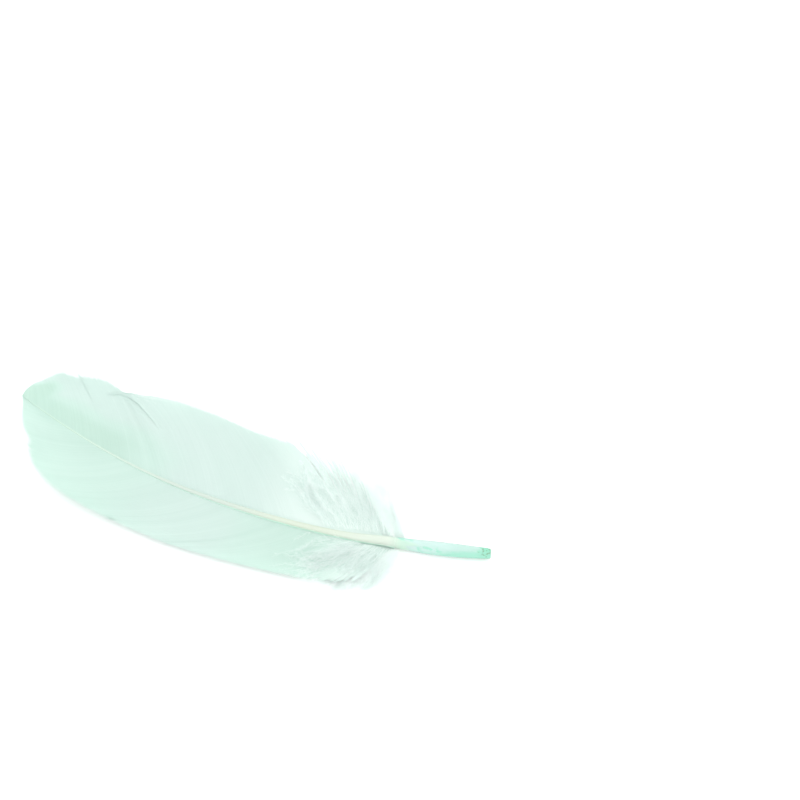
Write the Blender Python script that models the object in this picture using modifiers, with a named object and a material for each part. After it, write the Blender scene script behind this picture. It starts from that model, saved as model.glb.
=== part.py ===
"""A goose quill feather, lying on a flat surface with its hollow side up.

It grew as one piece, so it is one solid: the hollow quill's outside and the shaft, the two
vanes on one sheet, and the downy locks at the foot of the vanes. Metres, +Z up, +X from the
feather's tip to the quill's end, origin on the surface under the middle of its box.

A place on the feather is a station, measured along X from the quill's end, and an offset from
the shaft, positive on the broad trailing vane and negative on the narrow leading vane.
"""

import math
import random

import bmesh
import bpy
import numpy as np

MM = 0.001

# The feather's place and its line in plan
QUILL_X = 77.0 * MM
QUILL_Y = 4.9 * MM
SHAFT_LENGTH = 150.0 * MM
BOW = 10.0 * MM  # how far the shaft bends aside, halfway

# The side view: flat on the surface in the middle, with the tip and the quill's end clear of it
FLAT_FROM = 14.0 * MM
FLAT_TO = 92.0 * MM
TIP_RISE = 7.5 * MM
QUILL_RISE = 0.5 * MM
SUNK = 0.1 * MM  # how deep the lowest faces go before the surface trims them flat

# Thickness of the shaft at stations from the quill's end
SHAFT_DIAMETERS = (
    (0.0 * MM, 2.9 * MM),
    (2.0 * MM, 3.2 * MM),
    (9.0 * MM, 3.8 * MM),
    (16.0 * MM, 4.1 * MM),
    (25.0 * MM, 3.6 * MM),
    (37.0 * MM, 2.8 * MM),
    (50.0 * MM, 2.0 * MM),
    (80.0 * MM, 1.5 * MM),
    (111.0 * MM, 0.9 * MM),
    (150.0 * MM, 0.4 * MM),
)
SHAFT_RINGS = 34

# Edges of the two vanes: station and distance from the shaft
TIP_STATION = 153.6 * MM
TRAILING_EDGE = (
    (27.0 * MM, 4.0 * MM),
    (31.0 * MM, 17.5 * MM),
    (36.0 * MM, 24.5 * MM),
    (46.0 * MM, 26.8 * MM),
    (62.0 * MM, 26.6 * MM),
    (82.0 * MM, 26.2 * MM),
    (100.0 * MM, 27.2 * MM),
    (115.0 * MM, 25.6 * MM),
    (124.0 * MM, 22.4 * MM),
    (129.0 * MM, 19.4 * MM),
    (137.0 * MM, 18.8 * MM),
    (143.0 * MM, 15.6 * MM),
    (149.3 * MM, 12.6 * MM),
    (151.8 * MM, 8.7 * MM),
    (153.1 * MM, 5.0 * MM),
    (153.5 * MM, 2.2 * MM),
    (153.6 * MM, 0.0 * MM),
)
LEADING_EDGE = (
    (26.0 * MM, 2.5 * MM),
    (29.0 * MM, 8.5 * MM),
    (34.0 * MM, 14.4 * MM),
    (41.0 * MM, 17.4 * MM),
    (52.0 * MM, 17.3 * MM),
    (82.0 * MM, 18.3 * MM),
    (104.0 * MM, 19.4 * MM),
    (121.0 * MM, 20.0 * MM),
    (129.0 * MM, 19.4 * MM),
    (135.8 * MM, 17.6 * MM),
    (139.0 * MM, 15.4 * MM),
    (142.3 * MM, 12.0 * MM),
    (145.2 * MM, 9.3 * MM),
    (149.2 * MM, 5.6 * MM),
    (151.6 * MM, 3.0 * MM),
    (153.1 * MM, 1.4 * MM),
    (153.6 * MM, 0.0 * MM),
)

# Barbs: how far a barb's end lies nearer the tip than its root, and how it bends on the way
TRAILING_SWEEP = 32.0 * MM
LEADING_SWEEP = 33.0 * MM
TRAILING_BEND = (0.34, 0.62)
LEADING_BEND = (0.40, 0.60)
FAN_FROM = 23.0 * MM
FAN_TO = 52.0 * MM

# The vane sheet
VANE_FOOT = 36.0 * MM
LAST_BARB = 152.8 * MM
SMALLEST_FACE = 0.08 * MM
VANE_THICKNESS = 0.5 * MM
VANE_ROWS = 76
VANE_COLUMNS = 12
RIB_HEIGHT = 0.13 * MM
RIB_STEP = 0.25 * MM
RIB_FADE = 40.0 * MM  # the ribs die out over this last stretch before the tip
FLAT_HALF_WIDTH = 6.5 * MM
TRAILING_CUP = 1.6 * MM
LEADING_CUP = 2.2 * MM
TIP_CUP = 2.0 * MM
CUP_GROWS_FROM = 92.0 * MM

# Splits, where the barbs have parted: side, root of the split, how much of the barb it reaches
SPLITS = ((1, 99.5 * MM, 0.62), (1, 124.0 * MM, 0.55), (-1, 82.0 * MM, 0.86))
SPLIT_WIDTH = 0.8 * MM
SPLIT_START_WIDTH = 0.16 * MM
SPLIT_STEPS = 5
SPLIT_PAST_EDGE = 1.12  # shares of the barb
SPLIT_CUT_FROM = -5.0 * MM
SPLIT_CUT_HEIGHT = 30.0 * MM

# Downy locks at the foot of the vanes, on each side of the shaft
LOCKS_A_SIDE = 24
LOCKS_FROM = 25.5 * MM
LOCKS_TO = 36.0 * MM
LOCK_RADIUS = 0.7 * MM
LOCK_ROOT_SHARE = 0.6
LOCK_TIP_SHARE = 0.2
LOCK_POINTS = 6
LOCK_LIFT = 2.6 * MM
LOCK_LIFTS = (0.25, 1.0)  # shares of it, for the upper locks
LOCK_LOW = 0.35  # the share for every other lock, which lies lower
LOCK_REACHES = (0.86, 1.0)
LOCK_SEED = 7

# The surface that the feather lies on
SURFACE_SLAB = 0.4

FEATHER_COLOUR = (0.72, 0.92, 0.85, 1.0)
FEATHER_ROUGHNESS = 0.75


def clear_scene():
    for obj in list(bpy.data.objects):
        bpy.data.objects.remove(obj, do_unlink=True)


def new_collection(name):
    collection = bpy.data.collections.new(name)
    bpy.context.scene.collection.children.link(collection)
    return collection


def plumage_material():
    material = bpy.data.materials.new("dyed_plumage")
    material.use_nodes = True
    shader = material.node_tree.nodes["Principled BSDF"]
    shader.inputs["Base Color"].default_value = FEATHER_COLOUR
    shader.inputs["Roughness"].default_value = FEATHER_ROUGHNESS
    shader.inputs["Metallic"].default_value = 0.0
    material.diffuse_color = FEATHER_COLOUR
    return material


def smooth_step(x):
    x = min(max(x, 0.0), 1.0)
    return x * x * (3.0 - 2.0 * x)


def smooth_line(points, steps=24):
    """A Catmull-Rom curve through the points, sampled closely, as an array of pairs."""
    knots = np.array(points)
    before = 2.0 * knots[0] - knots[1]
    after = 2.0 * knots[-1] - knots[-2]
    knots = np.vstack([before, knots, after])
    share = np.linspace(0.0, 1.0, steps, endpoint=False)[:, None]
    spans = []
    for i in range(1, len(knots) - 2):
        a, b, c, d = knots[i - 1 : i + 3]
        bend = 2.0 * a - 5.0 * b + 4.0 * c - d
        twist = 3.0 * b - a - 3.0 * c + d
        spans.append(0.5 * (2.0 * b + (c - a) * share + bend * share**2 + twist * share**3))
    spans.append(knots[-2:-1])
    return np.vstack(spans)


EDGES = {1: smooth_line(TRAILING_EDGE), -1: smooth_line(LEADING_EDGE)}
SWEEPS = {1: TRAILING_SWEEP, -1: LEADING_SWEEP}
BENDS = {1: TRAILING_BEND, -1: LEADING_BEND}
CUPS = {1: TRAILING_CUP, -1: LEADING_CUP}
DIAMETERS = smooth_line(SHAFT_DIAMETERS)


def shaft_radius(station):
    return 0.5 * float(np.interp(station, DIAMETERS[:, 0], DIAMETERS[:, 1]))


def underside(station):
    """Height of the feather's lowest line above the surface."""
    to_tip = max(station - FLAT_TO, 0.0) / (SHAFT_LENGTH - FLAT_TO)
    to_quill = max(FLAT_FROM - station, 0.0) / FLAT_FROM
    return TIP_RISE * to_tip**2 + QUILL_RISE * to_quill**2 - SUNK


def place(station, offset, height):
    """The point at a station and an offset from the shaft, at a height above the surface."""
    t = station / SHAFT_LENGTH
    x = QUILL_X - station
    y = QUILL_Y - BOW * 4.0 * t * (1.0 - t)
    slope = -BOW * 4.0 * (1.0 - 2.0 * t) / SHAFT_LENGTH
    length = math.hypot(1.0, slope)
    return (x + offset * slope / length, y + offset / length, height)


def barb_end(side, root):
    """Station and distance from the shaft of the end of the barb that starts at root."""
    left = TIP_STATION - root
    sweep = SWEEPS[side] * (1.0 - math.exp(-left / SWEEPS[side]))
    sweep *= smooth_step((root - FAN_FROM) / (FAN_TO - FAN_FROM))
    station = root + sweep
    edge = EDGES[side]
    return station, float(np.interp(station, edge[:, 0], edge[:, 1]))


def along_barb(side, root, share, reach=1.0):
    """Station and offset of the point at a share of the way along a barb."""
    end, width = barb_end(side, root)
    end = root + (end - root) * reach
    width *= reach
    forward, outward = BENDS[side]
    bend = (root + forward * (end - root), outward * width)
    start_weight = (1.0 - share) ** 2
    bend_weight = 2.0 * share * (1.0 - share)
    end_weight = share**2
    station = start_weight * root + bend_weight * bend[0] + end_weight * end
    offset = bend_weight * bend[1] + end_weight * width
    return station, side * offset


def cup(station, offset):
    """How far the vane has risen at this offset: flat by the shaft, turning up to its edge."""
    side = 1 if offset > 0 else -1
    edge = EDGES[side]
    width = float(np.interp(station, edge[:, 0], edge[:, 1]))
    depth = CUPS[side] + TIP_CUP * smooth_step((station - CUP_GROWS_FROM) / (TIP_STATION - CUP_GROWS_FROM))
    room = max(width - FLAT_HALF_WIDTH, FLAT_HALF_WIDTH)
    return depth * (max(abs(offset) - FLAT_HALF_WIDTH, 0.0) / room) ** 2


def vane_point(root, across, row):
    """A point of the vane sheet: across runs from -1 at the leading edge to 1 at the trailing."""
    side = 1 if across > 0 else -1
    share = abs(across)
    furrow = row % 2
    strength = smooth_step((TIP_STATION - root) / RIB_FADE)
    reach = 1.0 - furrow * strength * RIB_STEP / max(barb_end(side, root)[1], RIB_STEP)
    station, offset = along_barb(side, root, share, reach)
    past_flat = smooth_step((abs(offset) - FLAT_HALF_WIDTH) / FLAT_HALF_WIDTH)
    rib = RIB_HEIGHT * strength * past_flat * (1 - 2 * furrow)
    height = underside(station) + VANE_THICKNESS / 2 + cup(station, offset) + rib
    return place(station, offset, height)


def keep_object(name, mesh, collection, helper=False):
    obj = bpy.data.objects.new(name, mesh)
    collection.objects.link(obj)
    if helper:
        obj.hide_render = True
        obj.display_type = "WIRE"
    return obj


def tube(name, points, radii, collection, sides_setting):
    """A closed mesh tube along the points, with a radius at each, from a bevelled curve."""
    curve = bpy.data.curves.new(name, "CURVE")
    curve.dimensions = "3D"
    curve.bevel_depth = 1.0
    curve.bevel_resolution = sides_setting
    curve.use_fill_caps = True
    spline = curve.splines.new("POLY")
    spline.points.add(len(points) - 1)
    for knot, point, radius in zip(spline.points, points, radii):
        knot.co = (*point, 1.0)
        knot.radius = radius
    guide = bpy.data.objects.new(name + "_guide", curve)
    bpy.context.scene.collection.objects.link(guide)
    bpy.context.view_layer.update()
    mesh = bpy.data.meshes.new_from_object(guide.evaluated_get(bpy.context.evaluated_depsgraph_get()))
    bpy.data.objects.remove(guide)
    bm = bmesh.new()
    bm.from_mesh(mesh)
    bmesh.ops.remove_doubles(bm, verts=bm.verts, dist=1e-6)
    bmesh.ops.recalc_face_normals(bm, faces=bm.faces)
    bm.to_mesh(mesh)
    bm.free()
    return keep_object(name, mesh, collection, helper=True)


def make_shaft(collection):
    """The quill and the shaft, thickest in the quill and drawn out fine to the tip."""
    stations = np.linspace(0.0, SHAFT_LENGTH, SHAFT_RINGS)
    radii = [shaft_radius(station) for station in stations]
    points = [place(s, 0.0, underside(s) + r) for s, r in zip(stations, radii)]
    return tube("shaft", points, radii, collection, sides_setting=2)


def make_vanes(collection):
    """Both vanes as one sheet, ribbed along the barbs, from a grid bent into place."""
    bm = bmesh.new()
    bmesh.ops.create_grid(bm, x_segments=VANE_ROWS, y_segments=VANE_COLUMNS, size=1.0)
    for vert in bm.verts:
        share = (vert.co.x + 1.0) / 2.0
        row = round(share * VANE_ROWS)
        root = VANE_FOOT + share * (LAST_BARB - VANE_FOOT)
        vert.co = vane_point(root, vert.co.y, row)
    bmesh.ops.remove_doubles(bm, verts=bm.verts, dist=SMALLEST_FACE)
    bmesh.ops.recalc_face_normals(bm, faces=bm.faces)
    mesh = bpy.data.meshes.new("vanes")
    bm.to_mesh(mesh)
    bm.free()
    vanes = keep_object("vanes", mesh, collection, helper=True)
    wall = vanes.modifiers.new("thickness", "SOLIDIFY")
    wall.thickness = VANE_THICKNESS
    wall.offset = 0.0
    return vanes


def make_lock(name, side, root, reach, lift, collection):
    """One lock of down: it leaves the shaft's side, rises a little and droops to its tip."""
    points = []
    radii = []
    foot = underside(root) + shaft_radius(root)
    for i in range(LOCK_POINTS):
        share = i / (LOCK_POINTS - 1)
        station, offset = along_barb(side, root, share, reach)
        arch = lift * math.sin(math.pi * share**0.8)
        height = foot * (1.0 - share) + (LOCK_RADIUS + cup(station, offset)) * share + arch
        points.append(place(station, offset, height))
        swell = math.sin(math.pi * min(share * 1.1 + 0.1, 1.0))
        end_share = LOCK_ROOT_SHARE * (1.0 - share) + LOCK_TIP_SHARE * share
        radii.append(LOCK_RADIUS * max(swell, end_share))
    return tube(name, points, radii, collection, sides_setting=0)


def make_down(collection):
    """The fans of downy locks on both sides, each lock with its own length and lift."""
    draw = random.Random(LOCK_SEED)
    for side in (1, -1):
        for i in range(LOCKS_A_SIDE):
            root = LOCKS_FROM + (LOCKS_TO - LOCKS_FROM) * i / (LOCKS_A_SIDE - 1)
            reach = draw.uniform(*LOCK_REACHES)
            lift = LOCK_LIFT * draw.uniform(*LOCK_LIFTS) * (1.0 if i % 2 else LOCK_LOW)
            make_lock(f"lock_{'lt'[side > 0]}_{i:02d}", side, root, reach, lift, collection)


def make_split(name, side, root, start, collection):
    """A thin upright wedge along a barb, which parts the vane from start out past its edge."""
    bm = bmesh.new()
    left = []
    right = []
    for i in range(SPLIT_STEPS + 1):
        share = start + (SPLIT_PAST_EDGE - start) * i / SPLIT_STEPS
        station, offset = along_barb(side, root, share)
        widening = i / SPLIT_STEPS
        half = (SPLIT_START_WIDTH * (1.0 - widening) + SPLIT_WIDTH * widening) / 2
        low = place(station - half, offset, SPLIT_CUT_FROM)
        high = place(station + half, offset, SPLIT_CUT_FROM)
        left.append(bm.verts.new(low))
        right.append(bm.verts.new(high))
    bottom = bm.faces.new(left + right[::-1])
    raised = bmesh.ops.extrude_face_region(bm, geom=[bottom])["geom"]
    top = [item for item in raised if isinstance(item, bmesh.types.BMVert)]
    bmesh.ops.translate(bm, verts=top, vec=(0.0, 0.0, SPLIT_CUT_HEIGHT))
    bmesh.ops.triangulate(bm, faces=bm.faces)
    bmesh.ops.recalc_face_normals(bm, faces=bm.faces)
    mesh = bpy.data.meshes.new(name)
    bm.to_mesh(mesh)
    bm.free()
    return keep_object(name, mesh, collection, helper=True)


def make_surface(collection):
    """The slab under the feather, whose top trims its lowest faces flat."""
    bm = bmesh.new()
    bmesh.ops.create_cube(bm, size=SURFACE_SLAB)
    bmesh.ops.translate(bm, verts=bm.verts, vec=(0.0, 0.0, -SURFACE_SLAB / 2))
    mesh = bpy.data.meshes.new("surface")
    bm.to_mesh(mesh)
    bm.free()
    return keep_object("surface", mesh, collection, helper=True)


def combine(obj, name, operation, collection):
    """A Boolean of the object with everything in a collection."""
    modifier = obj.modifiers.new(name, "BOOLEAN")
    modifier.operation = operation
    modifier.solver = "EXACT"
    modifier.operand_type = "COLLECTION"
    modifier.collection = collection
    return modifier


def make_feather():
    finished = new_collection("goose_quill_feather")
    grown = new_collection("shaft_and_locks")
    cutters = new_collection("cutters")

    make_shaft(grown)
    make_down(grown)
    make_surface(cutters)
    for i, (side, root, start) in enumerate(SPLITS):
        make_split(f"split_{i}", side, root, start, cutters)

    vanes = make_vanes(grown)
    bpy.context.view_layer.update()
    graph = bpy.context.evaluated_depsgraph_get()
    sheet = bpy.data.meshes.new_from_object(vanes.evaluated_get(graph))
    bpy.data.objects.remove(vanes)

    feather = keep_object("feather", sheet, finished)
    combine(feather, "splits_and_surface", "DIFFERENCE", cutters)
    combine(feather, "shaft_and_locks", "UNION", grown)
    trim = feather.modifiers.new("flat_underside", "BOOLEAN")
    trim.operation = "DIFFERENCE"
    trim.solver = "EXACT"
    trim.object = cutters.objects["surface"]
    feather.data.materials.clear()
    feather.data.materials.append(plumage_material())


clear_scene()
make_feather()
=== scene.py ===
import math

import bmesh
import bpy
import numpy as np
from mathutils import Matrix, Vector


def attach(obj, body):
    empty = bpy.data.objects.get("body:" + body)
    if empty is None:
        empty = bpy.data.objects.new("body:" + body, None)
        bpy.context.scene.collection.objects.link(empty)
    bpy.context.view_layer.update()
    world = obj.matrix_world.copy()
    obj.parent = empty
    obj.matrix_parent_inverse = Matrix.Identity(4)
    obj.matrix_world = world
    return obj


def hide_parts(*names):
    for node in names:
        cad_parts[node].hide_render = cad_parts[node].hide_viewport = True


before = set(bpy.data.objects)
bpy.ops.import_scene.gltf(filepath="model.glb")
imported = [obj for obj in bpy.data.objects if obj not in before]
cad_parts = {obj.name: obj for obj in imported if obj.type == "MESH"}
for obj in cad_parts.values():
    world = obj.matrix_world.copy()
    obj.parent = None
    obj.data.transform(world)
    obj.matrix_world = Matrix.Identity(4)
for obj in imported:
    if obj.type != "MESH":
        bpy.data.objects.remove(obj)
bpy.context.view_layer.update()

mm = 0.001               # everything below is in metres, written as a number of millimetres


# The line that every piece follows. A place on the feather is a station, measured along X from
# the quill's end, and an offset from the shaft, positive on the broad vane.
line = {
    "quillX": 77.0 * mm,
    "quillY": 4.9 * mm,
    "shaftLength": 150.0 * mm,
    "bow": 10.0 * mm,            # sideways bend of the shaft, halfway
    "flatFrom": 14.0 * mm,       # between these two the feather lies flat
    "flatTo": 92.0 * mm,
    "tipRise": 7.5 * mm,
    "quillRise": 0.2 * mm,
    "quillBend": 0.4 * mm,       # sideways, of the bare quill
    "bendFrom": 12.0 * mm,
    "bendOver": 22.0 * mm,
    "tipStation": 154.1 * mm,
    "tipDip": 0.3 * mm,          # how far the outline draws back where the two vanes meet
    "tipDipOver": 1.5 * mm,
    "tipDipWidth": 2.5 * mm,
    "flatHalfWidth": 6.5 * mm,   # beside the shaft the vane lies flat this far out
    "cup": {1: 1.6 * mm, -1: 2.2 * mm},
    "tipCup": 2.0 * mm,
    "cupGrowsFrom": 92.0 * mm,
}

# Edges of the two vanes: station and distance from the shaft, in millimetres
trailingEdge = (
    (27.0, 4.0), (31.0, 17.5), (36.0, 24.5), (46.0, 26.8), (62.0, 26.6), (82.0, 26.2), (100.0, 27.2),
    (115.0, 25.6), (120.0, 23.9), (123.5, 22.1), (126.6, 20.1), (128.7, 19.4), (133.3, 19.5),
    (137.6, 19.2), (141.0, 17.5), (145.7, 14.5), (149.1, 12.8), (151.6, 9.8), (152.8, 7.7),
    (153.7, 5.4), (154.0, 3.6), (154.1, 1.6), (154.12, 0.4),
)
leadingEdge = (
    (26.0, 2.5), (29.0, 8.5), (34.0, 14.4), (41.0, 17.2), (52.0, 17.8), (61.0, 18.3), (72.0, 18.9),
    (82.0, 19.5), (93.0, 20.1), (104.0, 20.3), (121.0, 20.5), (128.0, 20.2), (132.6, 19.4),
    (137.2, 17.8), (139.2, 16.3), (141.8, 13.3), (144.4, 10.5), (147.0, 8.7), (149.2, 6.8),
    (151.5, 3.4), (152.9, 1.3), (153.6, 0.5), (154.1, 0.0),
)

# Thickness of the quill and shaft at stations from the quill's end, in millimetres
shaftDiameters = (
    (0.0, 3.0), (2.0, 3.4), (9.0, 4.0), (16.0, 4.2), (25.0, 3.6), (37.0, 2.8), (50.0, 2.0),
    (80.0, 1.5), (111.0, 0.9), (150.0, 0.3),
)

# How the barbs of each vane run: how far the end lies nearer the tip than the root, how the
# barb bends on the way, and the stretch at the foot over which they fan out
barbRun = {
    1: {"sweep": 32.0 * mm, "bend": (0.34, 0.62), "fan": (23.0 * mm, 52.0 * mm)},
    -1: {"sweep": 33.0 * mm, "bend": (0.40, 0.60), "fan": (23.0 * mm, 52.0 * mm)},
}


def smoothLine(points, steps=24):
    knots = np.array(points) * mm
    knots = np.vstack([2 * knots[0] - knots[1], knots, 2 * knots[-1] - knots[-2]])
    share = np.linspace(0, 1, steps, endpoint=False)[:, None]
    spans = []
    for i in range(1, len(knots) - 2):
        a, b, c, d = knots[i - 1 : i + 3]
        bend = 2 * a - 5 * b + 4 * c - d
        twist = 3 * b - a - 3 * c + d
        spans.append(0.5 * (2 * b + (c - a) * share + bend * share**2 + twist * share**3))
    spans.append(knots[-2:-1])
    return np.vstack(spans)


edges = {1: smoothLine(trailingEdge), -1: smoothLine(leadingEdge)}
diameters = smoothLine(shaftDiameters)


def smoothStep(x):
    x = np.clip(x, 0, 1)
    return x * x * (3 - 2 * x)


def shaftRadius(station):
    return np.interp(station, diameters[:, 0], diameters[:, 1]) / 2


def underside(station):          # height of the feather's lowest line
    toTip = np.clip(station - line["flatTo"], 0, None) / (line["shaftLength"] - line["flatTo"])
    toQuill = np.clip(line["flatFrom"] - station, 0, None) / line["flatFrom"]
    return line["tipRise"] * toTip**2 + line["quillRise"] * toQuill**2


def place(station, offset, height):
    t = station / line["shaftLength"]
    slope = -line["bow"] * 4 * (1 - 2 * t) / line["shaftLength"]
    length = np.sqrt(1 + slope**2)
    x = line["quillX"] - station + offset * slope / length
    y = line["quillY"] - line["bow"] * 4 * t * (1 - t) + offset / length
    y = y - line["quillBend"] * (1 - smoothStep((station - line["bendFrom"]) / line["bendOver"]))
    return np.stack(np.broadcast_arrays(x, y, height), axis=-1)


def vaneWidth(side, station):
    return np.interp(station, edges[side][:, 0], edges[side][:, 1])


def vaneCup(side, station, distance):    # the vane lies flat by the shaft and turns up to its edge
    growth = smoothStep((station - line["cupGrowsFrom"]) / (line["tipStation"] - line["cupGrowsFrom"]))
    depth = line["cup"][side] + line["tipCup"] * growth
    flat = line["flatHalfWidth"]
    room = np.maximum(vaneWidth(side, station) - flat, flat)
    return depth * (np.clip(distance - flat, 0, None) / room) ** 2


def barbEnd(side, root):
    run = barbRun[side]
    left = line["tipStation"] - root
    sweep = run["sweep"] * (1 - np.exp(-left / run["sweep"]))
    sweep = sweep * smoothStep((root - run["fan"][0]) / (run["fan"][1] - run["fan"][0]))
    station = root + sweep
    return station, vaneWidth(side, station)


def alongBarb(side, root, share, reach=1.0):     # station and distance from the shaft
    end, width = barbEnd(side, root)
    end = root + (end - root) * reach
    width = width * reach
    forward, outward = barbRun[side]["bend"]
    bendWeight = 2 * share * (1 - share)
    station = (1 - share) ** 2 * root + bendWeight * (root + forward * (end - root)) + share**2 * end
    distance = bendWeight * outward * width + share**2 * width
    atTip = smoothStep((station - line["tipStation"]) / line["tipDipOver"] + 1)
    station = station - line["tipDip"] * atTip * (1 - smoothStep(distance / line["tipDipWidth"]))
    return station, distance


# Materials

class Wire:                      # one output socket, so that shader maths reads as maths
    def __init__(self, finish, socket):
        self.finish = finish
        self.socket = socket

    def maths(self, operation, first, second):
        return self.finish.node("ShaderNodeMath", {"operation": operation}, {0: first, 1: second})

    def __add__(self, other):
        return self.maths("ADD", self, other)

    def __sub__(self, other):
        return self.maths("SUBTRACT", self, other)

    def __rsub__(self, other):
        return self.maths("SUBTRACT", other, self)

    def __mul__(self, other):
        return self.maths("MULTIPLY", self, other)

    __radd__ = __add__
    __rmul__ = __mul__


class Finish:                    # a material and the nodes in it
    def __init__(self, name):
        self.material = bpy.data.materials.new(name)
        self.material.use_nodes = True
        self.tree = self.material.node_tree
        self.tree.nodes.clear()

    def node(self, kind, settings=None, sockets=None, out=0):
        made = self.tree.nodes.new(kind)
        for key, value in (settings or {}).items():
            if key == "stops":
                self.setStops(made.color_ramp, value)
            else:
                setattr(made, key, value)
        for key, value in (sockets or {}).items():
            if isinstance(value, Wire):
                self.tree.links.new(value.socket, made.inputs[key])
            else:
                made.inputs[key].default_value = value
        return Wire(self, made.outputs[out])

    def setStops(self, ramp, stops):
        while len(ramp.elements) < len(stops):
            ramp.elements.new(0.5)
        for element, (position, level) in zip(ramp.elements, stops):
            element.position = position
            element.color = (level, level, level, 1)

    def blend(self, factor, first, second, mode="MIX"):
        settings = {"data_type": "RGBA", "blend_type": mode, "clamp_factor": True}
        return self.node("ShaderNodeMix", settings, {0: factor, 6: first, 7: second}, out=2)

    def band(self, value, low, high):            # 0 below low, 1 above high, smooth between
        sockets = {"Value": value, "From Min": low, "From Max": high}
        return self.node("ShaderNodeMapRange", {"interpolation_type": "SMOOTHSTEP"}, sockets)

    def objectPlace(self, scale=(1, 1, 1)):
        sockets = {"Vector": self.node("ShaderNodeTexCoord", out="Object"), "Scale": scale}
        return self.node("ShaderNodeMapping", {"vector_type": "POINT"}, sockets)

    def noise(self, vector, scale, detail=2.0, roughness=0.5):
        sockets = {"Vector": vector, "Scale": scale, "Detail": detail, "Roughness": roughness}
        return self.node("ShaderNodeTexNoise", {}, sockets)

    def attribute(self, name, out="Fac"):
        return self.node("ShaderNodeAttribute", {"attribute_name": name}, out=out)

    def bump(self, height, strength, distance):
        sockets = {"Height": height, "Strength": strength, "Distance": distance}
        return self.node("ShaderNodeBump", {}, sockets)

    def mixed(self, factor, first, second):      # two shaders
        return self.node("ShaderNodeMixShader", {}, {0: factor, 1: first, 2: second})

    def output(self, shader):
        end = self.tree.nodes.new("ShaderNodeOutputMaterial")
        self.tree.links.new(shader.socket, end.inputs["Surface"])
        return self.material


def rgb(red, green, blue):
    return (red, green, blue, 1.0)


plumageLook = {
    "base": rgb(0.53, 0.695, 0.625),
    # pale: a paler dye, and on the trailing vane also a painted sheen
    "pale": rgb(0.565, 0.69, 0.648),
    "deep": rgb(0.47, 0.645, 0.56),
    "foot": rgb(0.77, 0.865, 0.825),
    # painted shade: this dark grey-green stands in for the shade along and under the leading vane's
    # outer edge
    "rim": rgb(0.48, 0.55, 0.52),
    "letsThrough": rgb(0.60, 0.74, 0.69),
    "translucency": 0.28,
    "roughness": 0.62,
    "sheen": 0.12,
    "barbTone": 0.25,            # how much the barbs differ from each other
    "barbDark": rgb(0.60, 0.60, 0.60),
    "barbLight": rgb(1.0, 1.0, 1.0),
}


def plumageMaterial(name, look):
    finish = Finish(name)
    tone = finish.attribute("tone")
    depth = finish.attribute("depth")            # 1 where the dye took deepest; also carries the painted shade near the trailing vane's tip and its paler painted sheen
    clouds = finish.noise(finish.objectPlace(), 90.0, detail=3.0)
    dyeAndShadeLevel = finish.band(depth + (clouds - 0.5) * 0.35, 0.0, 1.0)
    tint = finish.blend(dyeAndShadeLevel, look["pale"], look["base"])
    tint = finish.blend(finish.band(depth + (clouds - 0.5) * 0.2, 1.0, 2.0), tint, look["deep"])
    tint = finish.blend(finish.attribute("downy"), tint, look["foot"])
    barbs = finish.blend(tone, look["barbDark"], look["barbLight"])
    tint = finish.blend(look["barbTone"], tint, barbs, "SOFT_LIGHT")
    # the rim mask paints shade along the leading vane's outer edge, and lets less light through there
    rim = finish.attribute("rim")
    tint = finish.blend(rim, tint, look["rim"])
    fibre = finish.noise(finish.node("ShaderNodeUVMap", {"uv_map": "alongBarb"}), 60.0, detail=3.0)
    shader = finish.node("ShaderNodeBsdfPrincipled", {}, {
        "Base Color": tint,
        "Roughness": look["roughness"],
        "IOR": 1.45,
        "Specular IOR Level": 0.35,
        "Sheen Weight": look["sheen"],
        "Sheen Roughness": 0.4,
        "Normal": finish.bump(fibre, 0.25, 0.05 * mm),
    })
    through = finish.node("ShaderNodeBsdfTranslucent", {}, {"Color": look["letsThrough"]})
    return finish.output(finish.mixed(look["translucency"] * (1 - rim), shader, through))


downLook = {
    "base": rgb(0.97, 0.995, 0.985),
    "deep": rgb(0.86, 0.935, 0.91),
    "letsThrough": rgb(0.96, 0.995, 0.985),
    "translucency": 0.56,
    "roughness": 0.7,
}


def downMaterial(name, look):
    finish = Finish(name)
    tone = finish.attribute("tone")
    clouds = finish.noise(finish.objectPlace(), 160.0, detail=2.0)
    tint = finish.blend(finish.band(tone * 0.6 + clouds * 0.6, 0.2, 0.9), look["base"], look["deep"])
    shader = finish.node("ShaderNodeBsdfPrincipled", {}, {
        "Base Color": tint,
        "Roughness": look["roughness"],
        "Specular IOR Level": 0.25,
        "Sheen Weight": 0.1,
    })
    through = finish.node("ShaderNodeBsdfTranslucent", {}, {"Color": look["letsThrough"]})
    return finish.output(finish.mixed(look["translucency"], shader, through))


shaftLook = {
    "byQuill": rgb(0.545, 0.66, 0.572),
    "nearQuill": rgb(0.61, 0.68, 0.60),
    "cream": rgb(0.57, 0.63, 0.53),
    "thin": rgb(0.52, 0.60, 0.54),
    "tip": rgb(0.53, 0.68, 0.59),
    "flankShade": rgb(0.66, 0.96, 0.82),         # its flanks, painted mint as the shade along the shaft's sides
    "letsThrough": rgb(0.72, 0.90, 0.80),
    "translucency": 0.2,
    "roughness": 0.38,
    # where one tint passes into the next, as shares of the shaft
    "paleFrom": (0.188, 0.207),
    "creamFrom": (0.2, 0.38),
    "thinFrom": (0.38, 0.58),
    "tipFrom": (0.6, 0.95),
    "topFrom": (0.35, 0.7),      # from the flanks painted as shade, 0 underneath and 1 on top
}


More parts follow.
